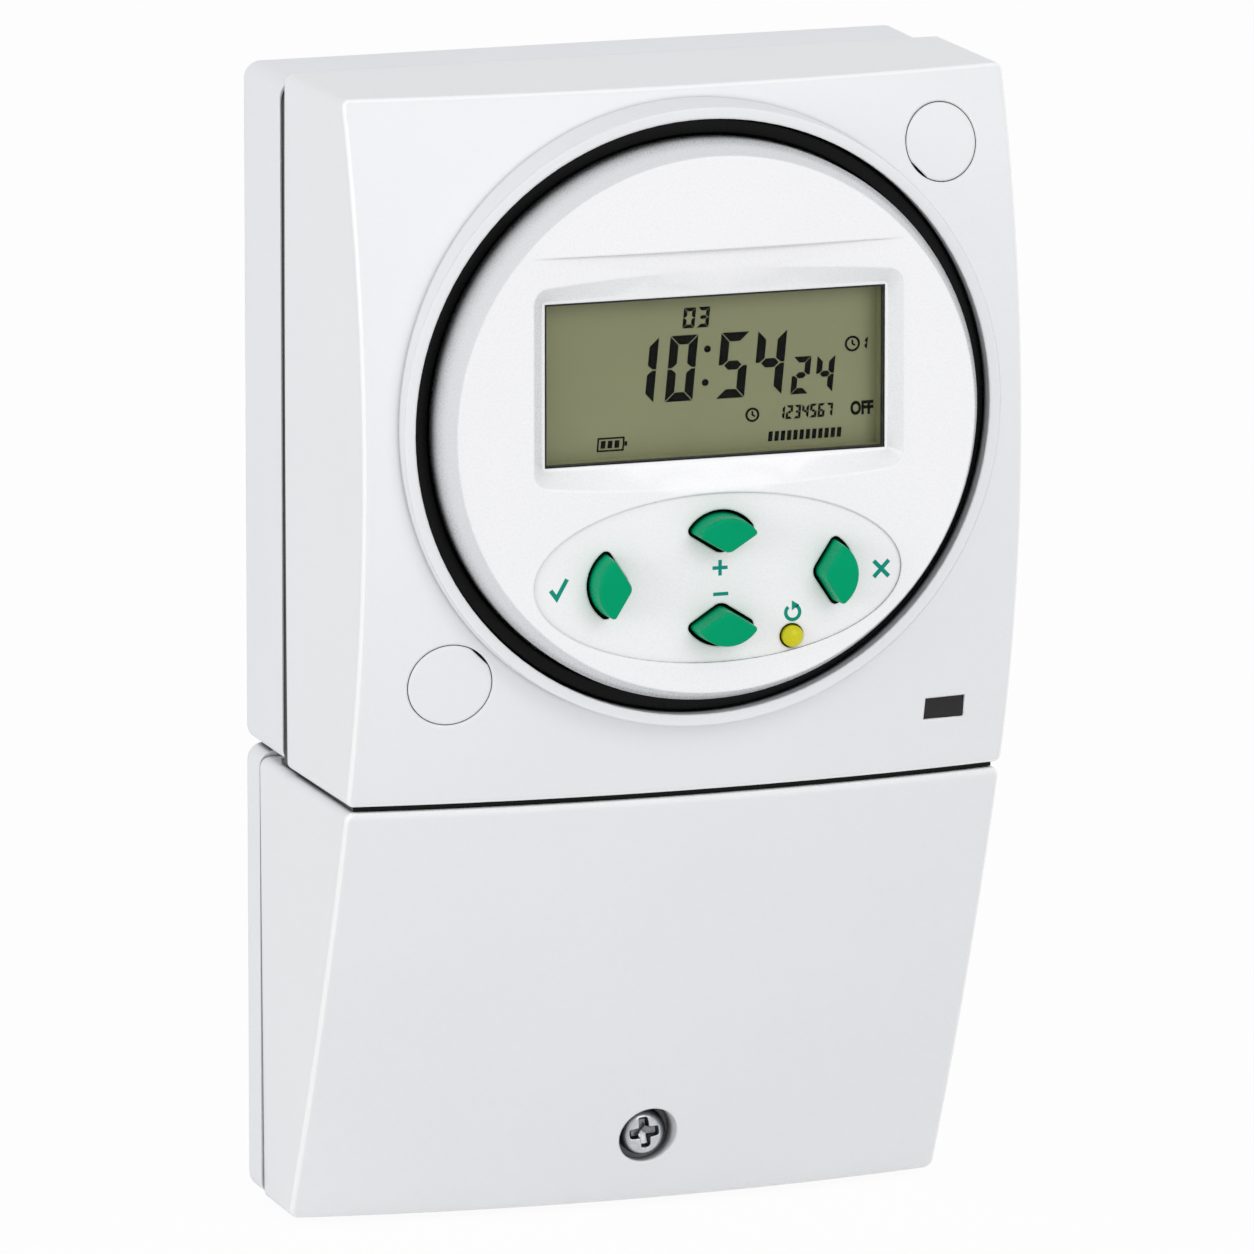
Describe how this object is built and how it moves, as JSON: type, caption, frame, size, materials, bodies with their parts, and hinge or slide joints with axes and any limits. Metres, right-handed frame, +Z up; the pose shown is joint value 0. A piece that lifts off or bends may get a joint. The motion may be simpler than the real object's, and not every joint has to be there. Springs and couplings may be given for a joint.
{
  "type": "digital timer switch",
  "caption": "Wall-mounted digital timer switch with a round display dial, four keys, a reset button and a screwed terminal cover.",
  "frame": {"origin": "on the back face that rests on the wall, on the middle line, 17.6 mm above the foot of the rear housing", "axes": "+X to the right seen from the front, +Y into the wall, +Z up"},
  "size_m": [0.1064, 0.072, 0.1803],
  "materials": {
    "housing_white": "fine matt texture",
    "cover_white": "fine matt texture",
    "dial_white": "fine matt texture",
    "ring_black": "matt",
    "pane_clear": "clear, polished",
    "display_cell": "satin",
    "frame_black": "matt",
    "strip_rubber": "matt",
    "board_green": "satin",
    "core_dark": "varnished",
    "relay_blue": "gloss",
    "can_aluminium": "satin",
    "cell_steel": "satin",
    "lamp_red": "gloss",
    "lens_dark": "polished",
    "terminal_black": "matt",
    "screw_steel": "bright zinc plated",
    "retainer_nylon": "matt",
    "insert_brass": "turned",
    "clamp_brass": "plated",
    "reset_yellow": "satin",
    "key_green": "satin",
    "switch_black": "matt"
  },
  "bodies": {
    "base": {"rear_housing": "housing_white", "backplate": "housing_white", "front_cover": "cover_white", "dial_face": "dial_white", "seal_ring": "ring_black", "lcd_window": "pane_clear", "lcd_glass": "display_cell", "lcd_frame": "frame_black", "contact_strip_upper": "strip_rubber", "contact_strip_lower": "strip_rubber", "display_board": "board_green", "push_switch_1": "switch_black", "push_switch_2": "switch_black", "push_switch_3": "switch_black", "push_switch_4": "switch_black", "push_switch_5": "switch_black", "board_screw_1": "screw_steel", "board_screw_2": "screw_steel", "board_screw_3": "screw_steel", "board_screw_4": "screw_steel", "main_board": "board_green", "riser_board": "board_green", "transformer": "core_dark", "relay": "relay_blue", "capacitor": "can_aluminium", "backup_cell": "cell_steel", "indicator_lamp": "lamp_red", "indicator_lens": "lens_dark", "terminal_block": "terminal_black", "body_screw_upper": "screw_steel", "body_screw_lower": "screw_steel", "screw_insert": "insert_brass"},
    "up_key": {"key_up": "key_green"},
    "down_key": {"key_down": "key_green"},
    "left_key": {"key_left": "key_green"},
    "right_key": {"key_right": "key_green"},
    "reset": {"reset_button": "reset_yellow"},
    "wiring_cover": {"terminal_cover": "cover_white"},
    "captive_screw": {"cover_screw": "screw_steel", "screw_retainer": "retainer_nylon"},
    "upper_cap": {"cap_upper": "cover_white"},
    "lower_cap": {"cap_lower": "cover_white"},
    "wire_screw_1": {"terminal_screw_1": "screw_steel"},
    "wire_clamp_1": {"terminal_clamp_1": "clamp_brass"},
    "wire_screw_2": {"terminal_screw_2": "screw_steel"},
    "wire_clamp_2": {"terminal_clamp_2": "clamp_brass"},
    "wire_screw_3": {"terminal_screw_3": "screw_steel"},
    "wire_clamp_3": {"terminal_clamp_3": "clamp_brass"},
    "wire_screw_4": {"terminal_screw_4": "screw_steel"},
    "wire_clamp_4": {"terminal_clamp_4": "clamp_brass"},
    "wire_screw_5": {"terminal_screw_5": "screw_steel"},
    "wire_clamp_5": {"terminal_clamp_5": "clamp_brass"}
  },
  "joints": [
    {"name": "up_key_press", "type": "slide", "parent": "base", "child": "up_key", "axis": [0, 1, 0], "range_m": [0, 0.0008], "stiffness_N_per_m": 400},
    {"name": "down_key_press", "type": "slide", "parent": "base", "child": "down_key", "axis": [0, 1, 0], "range_m": [0, 0.0008], "stiffness_N_per_m": 400},
    {"name": "left_key_press", "type": "slide", "parent": "base", "child": "left_key", "axis": [0, 1, 0], "range_m": [0, 0.0008], "stiffness_N_per_m": 400},
    {"name": "right_key_press", "type": "slide", "parent": "base", "child": "right_key", "axis": [0, 1, 0], "range_m": [0, 0.0008], "stiffness_N_per_m": 400},
    {"name": "reset_press", "type": "slide", "parent": "base", "child": "reset", "axis": [0, 1, 0], "range_m": [0, 0.0008], "stiffness_N_per_m": 400},
    {"name": "wiring_cover_off", "type": "slide", "parent": "base", "child": "wiring_cover", "axis": [0, -1, 0], "range_m": [0, 0.03]},
    {"name": "captive_screw_turn", "type": "hinge", "parent": "wiring_cover", "child": "captive_screw", "pos_m": [0.0022, -0.0248, -0.0778], "axis": [0, 1, 0], "continuous": true},
    {"name": "upper_cap_out", "type": "slide", "parent": "base", "child": "upper_cap", "axis": [0, -1, 0], "range_m": [0, 0.012]},
    {"name": "lower_cap_out", "type": "slide", "parent": "base", "child": "lower_cap", "axis": [0, -1, 0], "range_m": [0, 0.012]},
    {"name": "wire_screw_1_turn", "type": "hinge", "parent": "base", "child": "wire_screw_1", "pos_m": [-0.026, -0.0269, -0.034], "axis": [0, 1, 0], "range_deg": [0, 720]},
    {"name": "wire_clamp_1_rise", "type": "slide", "parent": "base", "child": "wire_clamp_1", "axis": [0, -1, 0], "range_m": [0, 0.0014]},
    {"name": "wire_screw_2_turn", "type": "hinge", "parent": "base", "child": "wire_screw_2", "pos_m": [-0.013, -0.0269, -0.034], "axis": [0, 1, 0], "range_deg": [0, 720]},
    {"name": "wire_clamp_2_rise", "type": "slide", "parent": "base", "child": "wire_clamp_2", "axis": [0, -1, 0], "range_m": [0, 0.0014]},
    {"name": "wire_screw_3_turn", "type": "hinge", "parent": "base", "child": "wire_screw_3", "pos_m": [0, -0.0269, -0.034], "axis": [0, 1, 0], "range_deg": [0, 720]},
    {"name": "wire_clamp_3_rise", "type": "slide", "parent": "base", "child": "wire_clamp_3", "axis": [0, -1, 0], "range_m": [0, 0.0014]},
    {"name": "wire_screw_4_turn", "type": "hinge", "parent": "base", "child": "wire_screw_4", "pos_m": [0.013, -0.0269, -0.034], "axis": [0, 1, 0], "range_deg": [0, 720]},
    {"name": "wire_clamp_4_rise", "type": "slide", "parent": "base", "child": "wire_clamp_4", "axis": [0, -1, 0], "range_m": [0, 0.0014]},
    {"name": "wire_screw_5_turn", "type": "hinge", "parent": "base", "child": "wire_screw_5", "pos_m": [0.026, -0.0269, -0.034], "axis": [0, 1, 0], "range_deg": [0, 720]},
    {"name": "wire_clamp_5_rise", "type": "slide", "parent": "base", "child": "wire_clamp_5", "axis": [0, -1, 0], "range_m": [0, 0.0014]}
  ],
  "couplings": [
    {"joint": "wire_screw_1_turn", "follows": "wire_clamp_1_rise", "rad_per_m": 8976},
    {"joint": "wire_screw_2_turn", "follows": "wire_clamp_2_rise", "rad_per_m": 8976},
    {"joint": "wire_screw_3_turn", "follows": "wire_clamp_3_rise", "rad_per_m": 8976},
    {"joint": "wire_screw_4_turn", "follows": "wire_clamp_4_rise", "rad_per_m": 8976},
    {"joint": "wire_screw_5_turn", "follows": "wire_clamp_5_rise", "rad_per_m": 8976}
  ]
}
